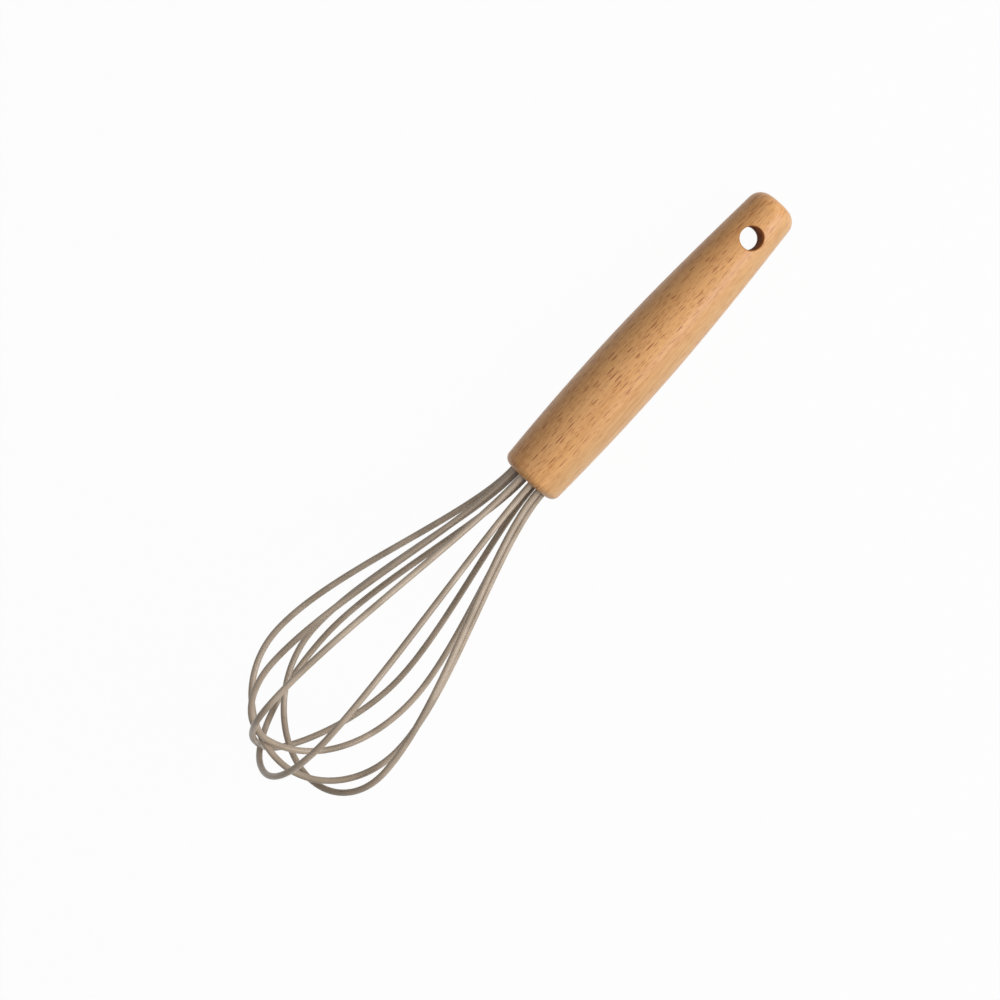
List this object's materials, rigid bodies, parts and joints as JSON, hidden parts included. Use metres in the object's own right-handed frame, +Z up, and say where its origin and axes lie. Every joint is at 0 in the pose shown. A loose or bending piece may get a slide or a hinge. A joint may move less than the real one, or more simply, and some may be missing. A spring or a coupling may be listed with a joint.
{
  "type": "balloon whisk",
  "caption": "Hand whisk with silicone sleeved wire loops in a balloon and a turned beech handle with a hanging hole, lying at rest.",
  "frame": {"origin": "on the table under the middle of the whisk's bounding box", "axes": "+X from the handle towards the tip along the table, +Y across the whisk, +Z up"},
  "size_m": [0.266, 0.0634, 0.0612],
  "materials": {
    "beech": "satin lacquer over steamed beech",
    "silicone": "matte taupe silicone",
    "spring_steel": "drawn spring wire",
    "plug_plastic": "moulded plastic",
    "cured_glue": "cured resin"
  },
  "bodies": {
    "root": {"beech_handle": "beech", "spreader_plug": "plug_plastic", "socket_glue": "cured_glue", "silicone_sleeve_1": "silicone", "silicone_sleeve_2": "silicone", "silicone_sleeve_3": "silicone", "silicone_sleeve_4": "silicone", "silicone_sleeve_5": "silicone", "loop_wire_1": "spring_steel", "loop_wire_2": "spring_steel", "loop_wire_3": "spring_steel", "loop_wire_4": "spring_steel", "loop_wire_5": "spring_steel"}
  },
  "joints": []
}
